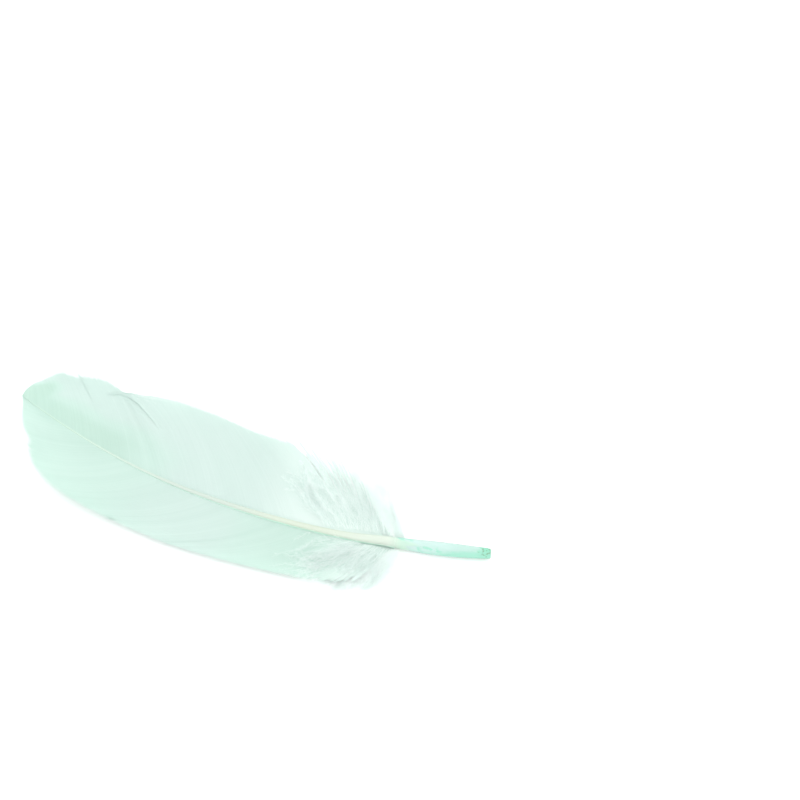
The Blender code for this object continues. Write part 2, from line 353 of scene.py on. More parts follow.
def shaftMaterial(name, look):
    finish = Finish(name)
    around = finish.attribute("around")          # 0 on the underside, 1 on top
    along = finish.attribute("along")            # station as a share of the shaft
    grain = finish.noise(finish.objectPlace((0.06, 1.0, 1.0)), 1500.0, detail=3.0)
    tint = finish.blend(finish.band(along, *look["paleFrom"]), look["byQuill"], look["nearQuill"])
    tint = finish.blend(finish.band(along, *look["creamFrom"]), tint, look["cream"])
    tint = finish.blend(finish.band(along, *look["thinFrom"]), tint, look["thin"])
    tint = finish.blend(finish.band(along, *look["tipFrom"]), tint, look["tip"])
    # painted shade: the flanks and underside take the mint flank colour, the top the shaft's own tints
    top = finish.band(around + (grain - 0.5) * 0.3, *look["topFrom"])
    tint = finish.blend(top, look["flankShade"], tint)
    shader = finish.node("ShaderNodeBsdfPrincipled", {}, {
        "Base Color": tint,
        "Roughness": look["roughness"],
        "IOR": 1.54,
        "Specular IOR Level": 0.5,
        "Normal": finish.bump(grain, 0.35, 0.04 * mm),
    })
    through = finish.node("ShaderNodeBsdfTranslucent", {}, {"Color": look["letsThrough"]})
    return finish.output(finish.mixed(look["translucency"], shader, through))


quillLook = {
    "clear": rgb(0.63, 0.83, 0.785),
    # this colour is real stain in the mottles and the collar, and painted shade along the tube's near
    # edge
    "stainAndEdgeShade": rgb(0.37, 0.79, 0.62),
    "cutEnd": rgb(0.30, 0.74, 0.54),
    "fleck": rgb(0.22, 0.36, 0.22),
    # painted shade along the far edge of the clear tube
    "backEdgeShade": rgb(0.48, 0.68, 0.60),
    "clearByEnd": rgb(0.56, 0.785, 0.72),
    "cream": rgb(0.405, 0.56, 0.46),
    "creamByShaft": rgb(0.475, 0.57, 0.49),
    "roughness": 0.2,
    "transmission": 0.36,
    "ior": 1.45,
    # stations, in mm from the quill's end
    "cutEndTo": (2.2, 4.4),
    "clearFrom": (7.0, 17.0),
    "stainLevel": 15.0,          # the near, low side is painted deeper, partly stain and partly the shade along the tube's near edge; on the cut end's side of this station it reaches higher up
    "mottleFrom": (13.0, 16.0),
    "mottleTo": (21.0, 23.0),
    "collarFrom": (22.5, 24.0),
    "creamFrom": (25.6, 27.4),
    "byShaftFrom": (26.0, 29.5),
    "tongue": (19.0, 27.0),      # where the pith's tongue starts and is widest
}


def quillMaterial(name, look):
    finish = Finish(name)
    station = finish.attribute("along") * (line["shaftLength"] / mm)
    around = finish.attribute("around")
    sideways = finish.attribute("sideways")
    blotches = finish.noise(finish.objectPlace((0.5, 1.0, 1.0)), 900.0, detail=4.0, roughness=0.6)
    specks = finish.noise(finish.objectPlace(), 1200.0, detail=3.0)
    streaks = finish.noise(finish.objectPlace((0.05, 1.0, 1.0)), 1400.0, detail=2.0)

    cutEnd = 1 - finish.band(station + (blotches - 0.5) * 4.0, *look["cutEndTo"])
    clearTint = finish.blend(finish.band(station, *look["clearFrom"]), look["clearByEnd"], look["clear"])
    tint = finish.blend(cutEnd + (streaks - 0.5) * 0.6, clearTint, look["cutEnd"])
    # painted shade, mixed with stain: the tube's near, lower side is coloured deeper
    towardsNearEdge = 0.5 - sideways * 0.5 + (look["stainLevel"] - station) * 0.02
    low = finish.band(towardsNearEdge + (blotches - 0.5) * 0.4, 0.74, 1.08)
    tint = finish.blend(low * 0.85, tint, look["stainAndEdgeShade"])
    # painted shade: a darker band along the quill's far edge
    backEdgeShade = finish.band(sideways, 0.5, 0.74) * (1 - cutEnd)
    tint = finish.blend(backEdgeShade * 0.9, tint, look["backEdgeShade"])
    flecks = finish.band(specks, 0.52, 0.64) * cutEnd
    tint = finish.blend(flecks * 0.75, tint, look["fleck"])
    mottle = finish.band(blotches, 0.5, 0.62) * finish.band(station, *look["mottleFrom"])
    mottle = mottle * (1 - finish.band(station, *look["mottleTo"]))
    tint = finish.blend(mottle * finish.band(sideways * -1, 0.0, 0.6) * 0.8, tint, look["stainAndEdgeShade"])
    collar = finish.band(blotches + sideways * 0.3, 0.45, 0.6)
    collar = collar * finish.band(station, *look["collarFrom"])
    tint = finish.blend(collar * 0.8, tint, look["stainAndEdgeShade"])

    grain = finish.bump(streaks, 0.3, 0.05 * mm)
    clear = finish.node("ShaderNodeBsdfPrincipled", {}, {
        "Base Color": tint,
        "Roughness": look["roughness"],
        "IOR": look["ior"],
        "Transmission Weight": look["transmission"],
        "Normal": grain,
    })
    byShaft = finish.band(station, *look["byShaftFrom"])
    cream = finish.node("ShaderNodeBsdfPrincipled", {}, {
        "Base Color": finish.blend(byShaft, look["cream"], look["creamByShaft"]),
        "Roughness": 0.35,
        "Normal": grain,
    })
    ragged = (blotches - 0.5) * 3.0 + (streaks - 0.5) * 2.0
    meets = finish.band(station - sideways * 2.4 + ragged, *look["creamFrom"])
    offMiddle = finish.node("ShaderNodeMath", {"operation": "ABSOLUTE"}, {0: sideways + 0.3})
    room = finish.band(station, *look["tongue"]) * 0.62 - offMiddle
    tongue = finish.band(room + (blotches - 0.5) * 0.25, -0.05, 0.25) * finish.band(around, 0.3, 0.6)
    factor = finish.node("ShaderNodeMath", {"operation": "MAXIMUM"}, {0: meets, 1: tongue * 0.8})
    return finish.output(finish.mixed(factor, clear, cream))


pithLook = {
    "cream": rgb(0.84, 0.86, 0.64),
    "green": rgb(0.38, 0.74, 0.58),
    "roughness": 0.6,
}


def pithMaterial(name, look):
    finish = Finish(name)
    along = finish.attribute("along")
    crumbs = finish.noise(finish.objectPlace(), 1300.0, detail=4.0, roughness=0.65)
    dry = finish.band(along + (crumbs - 0.5) * 0.06, 0.04, 0.11)
    tint = finish.blend(dry, look["green"], look["cream"])
    shader = finish.node("ShaderNodeBsdfPrincipled", {}, {
        "Base Color": tint,
        "Roughness": look["roughness"],
        "Normal": finish.bump(crumbs, 0.6, 0.15 * mm),
    })
    return finish.output(shader)


# Making meshes

def coneTemplate(sides, rings):                  # a cone cut into rings: its vertices' places and faces
    bm = bmesh.new()
    bmesh.ops.create_cone(bm, cap_ends=True, segments=sides, radius1=1, radius2=0, depth=1)
    upright = [e for e in bm.edges if abs(e.verts[0].co.z - e.verts[1].co.z) > 0.5]
    bmesh.ops.subdivide_edges(bm, edges=upright, cuts=rings - 2, use_grid_fill=True)
    bmesh.ops.recalc_face_normals(bm, faces=bm.faces)
    bm.verts.index_update()
    ringOf = np.array([round((v.co.z + 0.5) * (rings - 1)) for v in bm.verts])
    turns = [math.atan2(v.co.y, v.co.x) / (2 * math.pi) for v in bm.verts]
    sideOf = np.array([round(turn * sides) % sides for turn in turns])
    faces = [[v.index for v in f.verts] for f in bm.faces]
    bm.free()
    return ringOf, sideOf, faces


def joinedMesh(name, points, faces, attributes=None, uv=None, sharpOver=60):
    # points is (copies, vertices of the template, 3): one mesh out of all the copies
    copies, each = points.shape[:2]
    mesh = bpy.data.meshes.new(name)
    allFaces = [[k * each + i for i in face] for k in range(copies) for face in faces]
    mesh.from_pydata(points.reshape(-1, 3).tolist(), [], allFaces)
    for key, values in (attributes or {}).items():
        layer = mesh.attributes.new(key, "FLOAT", "POINT")
        layer.data.foreach_set("value", np.ascontiguousarray(values, dtype=np.float32).ravel())
    if uv is not None:
        corners = np.zeros(len(mesh.loops), dtype=np.int32)
        mesh.loops.foreach_get("vertex_index", corners)
        layer = mesh.uv_layers.new(name="alongBarb")
        layer.data.foreach_set("uv", uv.reshape(-1, 2)[corners].astype(np.float32).ravel())
    bm = bmesh.new()
    bm.from_mesh(mesh)
    bmesh.ops.recalc_face_normals(bm, faces=bm.faces)
    bm.to_mesh(mesh)
    bm.free()
    if sharpOver:
        mesh.shade_smooth()
        mesh.set_sharp_from_angle(angle=math.radians(sharpOver))
    obj = bpy.data.objects.new(name, mesh)
    bpy.context.scene.collection.objects.link(obj)
    return obj


def standIn(obj, material):                # a piece of the feather, in place of its plain solid
    obj.data.materials.append(material)
    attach(obj, "root")
    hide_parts("feather")
    print(f"  {obj.name}: {len(obj.data.polygons)} faces")
    return obj


def unit(vectors):
    return vectors / np.maximum(np.linalg.norm(vectors, axis=-1, keepdims=True), 1e-12)


def smoothed(values, reach):                     # a running mean along the first axis
    kernel = np.hanning(reach + 2)[1:-1]
    kernel = kernel / kernel.sum()
    padded = np.pad(values, (reach // 2, reach - 1 - reach // 2), mode="edge")
    return np.convolve(padded, kernel, mode="valid")


# The vanes: every barb is a thin ribbon with a ridge along it

# A barb's cross-section, across in half widths and up in ridge heights
barbSection = (
    (1.0, 0.0), (0.26, 0.3), (0.12, 1.0), (-0.12, 1.0),
    (-0.26, 0.3), (-1.0, 0.0), (-0.2, -0.7), (0.2, -0.7),
)

trailingVane = {
    "side": 1,
    "barbs": 320,
    "rings": 20,
    "roots": (29.5 * mm, 153.8 * mm),
    "clumps": 40,                # groups of barbs that cling together
    "clumpSlip": 0.16 * mm,
    "clumpLift": 0.03 * mm,
    "looseFoot": (34.0 * mm, 48.0 * mm),     # roots between which the vane firms up
    "footShort": 0.2,                        # how much shorter its barbs are there
    "growsOver": 8.0 * mm,                   # the very first ones are shorter still
    "fray": 0.35,                            # how far they draw apart there
    "stragglers": 0.3,                       # how much shorter one barb in four is there
    "downyTo": (42.0 * mm, 80.0 * mm),       # stations over which the downy paleness fades
    "downy": 1.0,
    "rim": 0.0 * mm,             # how far the outer edge rolls over
    "splits": (
        {
            "root": 98.6 * mm,               # the last barb of the group that lies on top
            "from": 0.62,                    # share of the barb where the split starts
            "slip": 8.4 * mm, "pull": 5.8 * mm, "hook": 6.0, "lift": 0.3 * mm, "reach": 7.5 * mm,
            "nextSlip": 3.0 * mm, "nextPull": 1.7 * mm, "nextReach": 3.0 * mm,
        },
        {
            "root": 124.0 * mm,
            "from": 0.6,
            "slip": 0.9 * mm, "pull": 0.5 * mm, "hook": 2.4, "lift": 0.22 * mm, "reach": 5.0 * mm,
            "nextSlip": 0.2 * mm, "nextPull": 0.1 * mm, "nextReach": 3.0 * mm,
        },
    ),
    "seed": 11,
}

leadingVane = {
    "side": -1,
    "barbs": 310,
    "rings": 20,
    "roots": (29.0 * mm, 153.8 * mm),
    "clumps": 36,
    "clumpSlip": 0.10 * mm,
    "clumpLift": 0.03 * mm,
    "looseFoot": (28.0 * mm, 40.0 * mm),
    "footShort": 0.17,
    "growsOver": 3.5 * mm,
    "fray": 0.1,
    "stragglers": 0.08,
    "downyTo": (35.0 * mm, 56.0 * mm),
    "downy": 0.8,
    "rim": 0.35 * mm,
    "splits": (
        {
            "root": 82.0 * mm,
            "from": 0.86,
            "slip": 1.2 * mm, "pull": 0.7 * mm, "hook": 2.4, "lift": 0.25 * mm, "reach": 2.0 * mm,
            "nextSlip": 0.0 * mm, "nextPull": 0.0 * mm, "nextReach": 1.0 * mm,
        },
    ),
    "seed": 23,
}

barbMake = {
    "ridgeHeight": 0.04 * mm,
    "overlap": 1.2,              # how far a ribbon reaches over its neighbour's edge
    "mostReach": 0.42 * mm,
    "sheetHeight": 0.2 * mm,     # of the vane over the feather's underside
    "tipLoose": 0.05 * mm,
    "lengthSpread": 0.004,
    "firstLength": 0.15,         # share of its full length that a vane's first barb has
    "clumpBlur": 7,              # barbs over which one clump passes into the next
    "calmBefore": 30.0 * mm,     # the barbs lie more evenly from this far before the tip
    "calmOver": 20.0 * mm,
    "leastReach": 0.05 * mm,
    "rimFrom": 50.0 * mm,        # stations between which the rolled rim is painted dark, as the shade along and under that edge
    "rimFadesIn": 8.0 * mm,
    "rimTo": 100.0 * mm,
    "rimFadesOut": 16.0 * mm,
}


def openSplits(roots, share, station, distance, splits):
    height = 0 * station
    for split in splits:
        behind = split["root"] - roots           # the barbs nearer the quill lie on top
        out = np.clip((share - split["from"]) / (1 - split["from"]), 0, None)
        near = np.where(behind >= 0, np.exp(-((behind / split["reach"]) ** 2)), 0.0)
        station = station + split["slip"] * near * out**1.6
        distance = distance - split["pull"] * near * out ** split["hook"]
        over = np.where(behind >= 0, np.exp(-behind / split["reach"]), 0.0)
        height = height + split["lift"] * over * smoothStep(out * 1.6)
        beyond = np.where(behind < 0, np.exp(behind / split["nextReach"]), 0.0)
        station = station + split["nextSlip"] * beyond * out**1.5
        distance = distance - split["nextPull"] * beyond * out**2
        height = height - 0.3 * split["lift"] * beyond * smoothStep(out * 1.6)
    return station, distance, height


def makeVane(name, vane):
    draw = np.random.default_rng(vane["seed"])
    side = vane["side"]
    barbs = vane["barbs"]
    roots = np.linspace(*vane["roots"], barbs)[:, None]
    share = np.linspace(0, 1, vane["rings"])[None, :]

    clumpOf = np.sort(draw.integers(0, vane["clumps"], barbs))
    slip = smoothed(draw.normal(0, 1, vane["clumps"])[clumpOf], barbMake["clumpBlur"])[:, None]
    lift = smoothed(draw.normal(0, 1, vane["clumps"])[clumpOf], barbMake["clumpBlur"])[:, None]
    first, last = vane["looseFoot"]
    atFoot = 1 - smoothStep((roots - first) / (last - first))
    beforeTip = roots - line["tipStation"] + barbMake["calmBefore"]
    calm = 1 - 0.9 * smoothStep(beforeTip / barbMake["calmOver"])
    loose = draw.normal(0, 1, (barbs, 1)) * barbMake["tipLoose"] * calm * (1 + 5 * atFoot)
    reach = 1 + draw.normal(0, barbMake["lengthSpread"], (barbs, 1)) * (1 + 14 * atFoot)
    reach = reach - vane["footShort"] * (0.7 + 0.6 * draw.random((barbs, 1))) * atFoot**2
    reach = reach * (1 - vane["stragglers"] * atFoot * (draw.random((barbs, 1)) < 0.25))
    grown = smoothStep((roots - roots[0]) / vane["growsOver"])
    reach = reach * (barbMake["firstLength"] + (1 - barbMake["firstLength"]) * grown)

    station, distance = alongBarb(side, roots, share, reach)
    station = station + slip * vane["clumpSlip"] * calm * (1 + 1.5 * atFoot) * share**2
    station = station + loose * share**5
    station, distance, parted = openSplits(roots, share, station, distance, vane["splits"])
    height = underside(station) + barbMake["sheetHeight"] + vaneCup(side, station, distance) + parted
    height = height + lift * vane["clumpLift"] * calm * (1 + 1.5 * atFoot) * share**1.5
    height = height - vane["rim"] * smoothStep((share - 0.93) / 0.09)
    height = np.maximum(height, underside(station) + barbMake["sheetHeight"] * 0.6)
    middle = place(station, side * distance, height)

    # each ribbon lies in the vane's sheet and reaches over the gap to its neighbours
    along = unit(np.gradient(middle, axis=1))
    evenStation, evenDistance = alongBarb(side, roots, share)
    evenHeight = underside(evenStation) + vaneCup(side, evenStation, evenDistance)
    even = place(evenStation, side * evenDistance, evenHeight)
    up = np.cross(np.gradient(even, axis=1), np.gradient(even, axis=0))
    up = unit(up * np.sign(up[..., 2:3]))
    toTip = unit(np.cross(up, along)) * side
    gap = np.abs((np.diff(middle, axis=0) * toTip[1:]).sum(-1))
    gap = np.concatenate([gap[:1], gap, gap[-1:]])
    reaches = np.clip(gap / 2 * barbMake["overlap"], barbMake["leastReach"], barbMake["mostReach"])
    frayed = 1 - vane["fray"] * atFoot * smoothStep(share * 2)
    reaches = np.stack([reaches[:-1], reaches[1:]]) * frayed

    ringOf, sideOf, faces = coneTemplate(len(barbSection), vane["rings"])
    section = np.array(barbSection)
    across = section[sideOf, 0]
    rise = section[sideOf, 1]
    pointed = ringOf == vane["rings"] - 1
    narrowing = np.where(pointed, 0.0, 1 - 0.35 * (ringOf / (vane["rings"] - 1)) ** 12)
    points = middle[:, ringOf]
    halfWidth = np.where(across > 0, reaches[1][:, ringOf], reaches[0][:, ringOf])
    points = points + toTip[:, ringOf] * (halfWidth * across * narrowing)[..., None]
    ridge = barbMake["ridgeHeight"] * (1 - 0.5 * ringOf / (vane["rings"] - 1)) * narrowing
    points = points + up[:, ringOf] * (ridge * rise)[None, :, None]

    tone = 0.5 + 0.16 * draw.normal(0, 1, (barbs, 1)) + 0.12 * lift
    tone = np.clip(tone + 0 * share, 0, 1)[:, ringOf]
    # rim: where the leading vane's outer edge gets its painted shade
    rim = smoothStep((share - 0.965) / 0.03)
    rim = rim * (1 - smoothStep((station - barbMake["rimTo"]) / barbMake["rimFadesOut"]))
    rim = rim * smoothStep((station - barbMake["rimFrom"]) / barbMake["rimFadesIn"]) * (vane["rim"] > 0)
    alongU = (share * distance / (20 * mm))[:, ringOf]
    acrossV = roots / line["shaftLength"] * 40 + across * 0.02
    uv = np.stack(np.broadcast_arrays(alongU, acrossV), axis=-1)
    depth = dyeAndShadeDepth(side, station, distance)[:, ringOf]
    first, last = vane["downyTo"]
    downy = vane["downy"] * (1 - smoothStep((station - first) / (last - first)))
    marks = {"tone": tone, "depth": depth, "rim": rim[:, ringOf], "downy": downy[:, ringOf]}
    return joinedMesh(name, points, faces, marks, uv, sharpOver=50)


dyeAndShade = {                          # 0 pale, 1 even, 2 deepest, as dye and as painted shade; stations where a stretch starts and is full
    "tipward": (94.0 * mm, 128.0 * mm),
    "wedge": 1.75,               # painted shade beside the shaft on the trailing vane, towards the tip, where the cupped tip lies in shade
    # painted shadow just inside the trailing vane's raised rim at the tip
    "tipRimShadow": 1.9,
    "tipRimShadowFrom": (144.0 * mm, 149.0 * mm),
    # the trailing vane is painted paler, standing in for the sheen it catches from the light behind
    "trailing": 0.12,
    "leading": 1.0,
    "middlePaler": 0.62,
    "middleFrom": (62.0 * mm, 87.0 * mm),
    "footDeeper": 0.35,
    "footTo": (60.0 * mm, 80.0 * mm),
    "byShaftDeeper": 0.3,
}


def rising(value, stretch):                      # 0 before the stretch, 1 after it
    first, last = stretch
    return smoothStep((value - first) / (last - first))


def dyeAndShadeDepth(side, station, distance):           # where the dye took, and where shade and sheen are painted on the trailing vane
    out = distance / np.maximum(vaneWidth(side, station), 3 * mm)
    tipward = rising(station, dyeAndShade["tipward"])
    if side > 0:
        # painted shade in the wedge by the shaft and inside the tip's rim
        wedge = tipward * (1 - rising(out, (0.22, 0.62)))
        tipRimShadow = rising(station, dyeAndShade["tipRimShadowFrom"]) * (1 - rising(out, (0.62, 0.82)))
        return dyeAndShade["trailing"] + np.maximum(dyeAndShade["wedge"] * wedge, dyeAndShade["tipRimShadow"] * tipRimShadow)
    middle = rising(station, dyeAndShade["middleFrom"]) * (1 - tipward)
    foot = 1 - rising(station, dyeAndShade["footTo"])
    byShaft = tipward * smoothStep(1 - 2 * out)
    depth = dyeAndShade["leading"] - dyeAndShade["middlePaler"] * middle
    return depth + dyeAndShade["footDeeper"] * foot + dyeAndShade["byShaftDeeper"] * byShaft


# The shaft and quill

def tubeAlong(name, stations, radii, centreHeights, sides, section=None):
    # a tube of rings along the feather's line, begun from a circle and extruded ring by ring
    bm = bmesh.new()
    ring = bmesh.ops.create_circle(bm, cap_ends=True, segments=sides, radius=1)["verts"]
    face = ring[0].link_faces[0]
    around = bm.verts.layers.float.new("around")
    beside = bm.verts.layers.float.new("sideways")
    along = bm.verts.layers.float.new("along")
    ringVerts = list(face.verts)
    angles = [math.atan2(v.co.y, v.co.x) for v in ringVerts]
    for i, (station, radius, height) in enumerate(zip(stations, radii, centreHeights)):
        if i:
            grown = bmesh.ops.extrude_face_region(bm, geom=[face])["geom"]
            face = next(item for item in grown if isinstance(item, bmesh.types.BMFace))
            ringVerts = list(face.verts)
        for vert, angle in zip(ringVerts, angles):
            sideways, up = math.cos(angle), math.sin(angle)
            if section:
                sideways, up = section(sideways, up, station)
            vert.co = Vector(place(station, radius * sideways, height + radius * up))
            vert[around] = 0.5 + 0.5 * math.sin(angle)
            vert[beside] = math.cos(angle)
            vert[along] = station / line["shaftLength"]
    bmesh.ops.recalc_face_normals(bm, faces=bm.faces)
    mesh = bpy.data.meshes.new(name)
    bm.to_mesh(mesh)
    bm.free()
    mesh.shade_smooth()
    mesh.set_sharp_from_angle(angle=math.radians(50))
    obj = bpy.data.objects.new(name, mesh)
    bpy.context.scene.collection.objects.link(obj)
    return obj


shaft = {
    "from": 24.0 * mm,
    "to": 153.5 * mm,
    "sides": 24,
    "rings": 150,
    "inset": 0.04 * mm,          # under the quill's clear skin, where the two overlap
    "skinEnds": 28.0 * mm,
    "skinFades": 2.0 * mm,
    "bluntFrom": 22.5 * mm,      # its hidden end inside the quill is rounded off
    "bluntOver": 5.0 * mm,
    "squareFrom": 30.5 * mm,     # round in the quill, squarish along the vanes
    "squareOver": 12.0 * mm,
    "taper": 0.7,                # by how much it thins at the very tip
    "taperFrom": 146.0 * mm,
    "taperOver": 8.0 * mm,
    "flatten": 0.40,
    "widen": 0.08,
    "slope": 0.26,               # the flanks lean in towards the top
    "sinksFrom": 105.0 * mm,     # towards the tip it comes down to the vanes' level
    "groove": 0.10,              # of the hollow side's channel, in radii
    "grooveHalfWidth": 0.3,
}


def squareness(station):                         # 0 in the round quill, 1 along the shaft
    return smoothStep((station - shaft["squareFrom"]) / shaft["squareOver"])


def shaftSection(sideways, up, station):         # squarish, with a shallow channel
    start = float(squareness(station))
    corner = 1 - 0.38 * start
    sideways = math.copysign(abs(sideways) ** corner, sideways)
    up = math.copysign(abs(up) ** corner, up)
    if up > 0:
        up -= shaft["groove"] * start * math.exp(-((sideways / shaft["grooveHalfWidth"]) ** 2))
    sideways *= 1 + start * (shaft["widen"] - shaft["slope"] * up)
    return sideways, up * (1 - shaft["flatten"] * start)


def makeShaft():
    stations = np.linspace(shaft["from"], shaft["to"], shaft["rings"])
    whole = shaftRadius(stations)
    outside = smoothStep((stations - shaft["skinEnds"]) / shaft["skinFades"])
    blunt = smoothStep((stations - shaft["bluntFrom"]) / shaft["bluntOver"])
    taper = smoothStep((stations - shaft["taperFrom"]) / shaft["taperOver"])
    radii = whole - shaft["inset"] * (1 - outside)
    radii = radii * (0.35 + 0.65 * np.sqrt(blunt))
    radii = radii * (1 - shaft["taper"] * taper)
    rise = whole * (1 - shaft["flatten"] * squareness(stations))
    toTip = smoothStep((stations - shaft["sinksFrom"]) / (shaft["to"] - shaft["sinksFrom"]))
    centres = underside(stations) + rise + toTip * (barbMake["sheetHeight"] - rise)
    return tubeAlong("shaft", stations, radii, centres, shaft["sides"], shaftSection)


quill = {
    "length": 31.0 * mm,
    "wall": 0.32 * mm,
    "sides": 32,
    "rings": 60,
    "hole": 0.45 * mm,           # radius of the opening at the cut end
    "endRounding": 0.5 * mm,
    "chamberEnds": 24.5 * mm,
    "chamberRounds": 6.0 * mm,
    "sinks": 0.08 * mm,          # its skin goes down into the shaft between these stations
    "sinksFrom": 26.5 * mm,
    "sinksOver": 3.6 * mm,
}


def closing(stations):                           # the chamber's rounded inner end, 1 along its length
    left = (quill["chamberEnds"] - stations) / quill["chamberRounds"]
    return np.sqrt(np.clip(left, 0.02, 1))


def makeQuill():
    outer = np.linspace(quill["length"], quill["endRounding"], quill["rings"])
    outerRadii = shaftRadius(outer)
    sunk = smoothStep((outer - quill["sinksFrom"]) / quill["sinksOver"])
    outerRadii = outerRadii - quill["sinks"] * sunk
    turn = np.linspace(0, math.pi / 2, 6)[1:]
    lip = quill["endRounding"] * (1 - np.sin(turn))
    endRadius = float(shaftRadius(quill["endRounding"]))
    lipRadii = endRadius - quill["endRounding"] * (1 - np.cos(turn))
    chamber = np.linspace(1.2 * mm, quill["chamberEnds"], quill["rings"])
    inner = np.concatenate([[0.0 * mm, 0.35 * mm], chamber])
    innerRadii = shaftRadius(inner) - quill["wall"]
    innerRadii[:2] = quill["hole"]
    innerRadii[2:] = (innerRadii * closing(inner))[2:]
    stations = np.concatenate([outer, lip, inner])
    radii = np.concatenate([outerRadii, lipRadii, innerRadii])
    centres = underside(stations) + shaftRadius(stations)
    return tubeAlong("quill", stations, radii, centres, quill["sides"])


pith = {
    "from": 17.0 * mm,
    "to": 24.3 * mm,
    "sides": 16,
    "rings": 26,
}


def makePith():                                  # the tongue of pith that runs on into the clear quill
    stations = np.linspace(pith["to"], pith["from"], pith["rings"])
    share = (stations - pith["from"]) / (pith["to"] - pith["from"])
    room = shaftRadius(stations) - quill["wall"] * 1.6
    chamber = closing(stations)
    radii = room * chamber * 0.92 * (0.08 + 0.8 * share**1.3)
    centres = underside(stations) + shaftRadius(stations) - (room * chamber - radii) * 0.35
    return tubeAlong("pith", stations, radii, centres, pith["sides"])


# Down at the foot of the vanes: fine stems, each with soft barbules all round

# How far the down reaches from the shaft at a station, in millimetres
trailingFluff = (
    (25.4, 0.4), (26.6, 2.0), (27.8, 5.5), (29.6, 9.0), (31.4, 14.0), (32.6, 19.0),
    (35.0, 22.0), (40.0, 23.5), (48.0, 25.0), (60.0, 25.5), (75.0, 25.0),
)
leadingFluff = (
    (25.4, 0.6), (26.6, 2.5), (27.6, 6.0), (28.6, 9.0), (30.5, 12.5), (33.0, 15.7),
    (36.0, 18.4), (41.0, 19.6), (48.0, 18.2), (60.0, 17.5), (75.0, 17.0),
)

trailingDown = {
    "outline": trailingFluff,
    "side": 1,
    "stems": 165,
    "roots": (26.4 * mm, 50.0 * mm),
    "crowding": 1.35,            # above 1, more of the stems are at the quill's end
    "angles": (78.0, 54.0),      # from the tip's direction, at the quill and at the last root
    "lengths": ((0.0, 20.0), (0.15, 25.0), (0.5, 26.0), (1.0, 19.0)),    # share of roots, mm
    "lift": (0.3 * mm, 1.8 * mm),
    "wisps": 1.2 * mm,           # how far the longest stems reach past the outline
    "seed": 5,
}

leadingDown = {
    "outline": leadingFluff,
    "side": -1,
    "stems": 140,
    "roots": (26.4 * mm, 41.0 * mm),
    "crowding": 1.2,
    "angles": (76.0, 40.0),
    "lengths": ((0.0, 15.0), (0.08, 19.5), (0.15, 22.0), (0.35, 24.5), (0.6, 23.0), (1.0, 18.0)),
    "lift": (0.3 * mm, 1.4 * mm),
    "wisps": 1.8 * mm,
    "seed": 8,
}

downMake = {
    "stemRadius": 0.035 * mm,
    "rings": 14,
    "barbules": 160,             # on each stem
    "barbuleLength": 2.1 * mm,
    "barbuleRadius": 0.012 * mm,
    "waver": 5.0,                # degrees that a stem strays
    "curl": (14.0, 16.0),        # degrees that it bends towards the tip on the way out, and their spread
    "swing": 18.0,
    "lengthSpread": 0.12,
    "fringe": 0.7 * mm,
    "leastSize": 0.12,
    "overVane": 0.45 * mm,       # how high the down lies on the vane, from here on
    "vaneFrom": 40.0 * mm,
    "vaneOver": 12.0 * mm,
    "lean": (58.0, 12.0),        # degrees between a barbule and its stem, and their spread
    "fullStem": 14.0 * mm,       # a shorter stem has shorter barbules
    "floorGap": 0.03 * mm,       # nothing goes through the floor
}


def downStems(fluff):
    draw = np.random.default_rng(fluff["seed"])
    n = fluff["stems"]
    rank = ((np.arange(n) + draw.random(n)) / n) ** fluff["crowding"]
    roots = fluff["roots"][0] + rank * (fluff["roots"][1] - fluff["roots"][0])
    first, last = fluff["angles"]
    angles = first + (last - first) * rank**0.7 + draw.normal(0, downMake["waver"], n)
    table = np.array(fluff["lengths"])
    lengths = np.interp(rank, table[:, 0], table[:, 1]) * mm
    lengths = lengths * (1 + draw.normal(0, downMake["lengthSpread"], n))
    share = np.linspace(0, 1, downMake["rings"])[None, :]
    curl = np.radians(draw.normal(*downMake["curl"], n))[:, None]
    swing = np.radians(draw.normal(0, downMake["swing"], n))[:, None]
    heading = np.radians(angles)[:, None] - curl * share - swing * np.sin(share * math.pi * 1.6)
    stride = lengths[:, None] / (downMake["rings"] - 1)
    forward = np.cumsum(np.cos(heading), axis=1) * stride
    outward = np.cumsum(np.sin(heading), axis=1) * stride
    outline = smoothLine(fluff["outline"])
    fringe = draw.normal(0, downMake["fringe"], (n, 1))
    fringe = np.minimum(fringe + fluff["wisps"] * draw.random((n, 1)) ** 2.5, fluff["wisps"])
    size = np.full((n, 1), downMake["leastSize"])    # the largest share that fits the outline
    for tried in np.linspace(0.16, 1, 22):
        reached = roots[:, None] + forward * tried
        room = np.interp(reached, outline[:, 0], outline[:, 1]) + fringe
        fits = (outward * tried <= room).all(axis=1, keepdims=True)
        size = np.where(fits, tried, size)
    station = roots[:, None] + forward * size
    distance = outward * size + (shaftRadius(roots) * 0.5)[:, None]
    low, high = fluff["lift"]
    lift = (low + (high - low) * draw.random(n) ** 1.6)[:, None]
    start = (underside(roots) + shaftRadius(roots) * draw.uniform(0.5, 1.1, n))[:, None]
    rest = draw.uniform(0.35, 1.0, n)[:, None] * lift
    height = start * (1 - share) ** 2 + rest * share + lift * np.sin(math.pi * share**0.8) * 0.7
    sheet = underside(station) + downMake["overVane"] + vaneCup(fluff["side"], station, distance)
    onVane = smoothStep((station - downMake["vaneFrom"]) / downMake["vaneOver"])
    height = np.maximum(height, sheet * onVane + 0.12 * mm)
    return place(station, fluff["side"] * distance, height), lengths * size[:, 0], draw


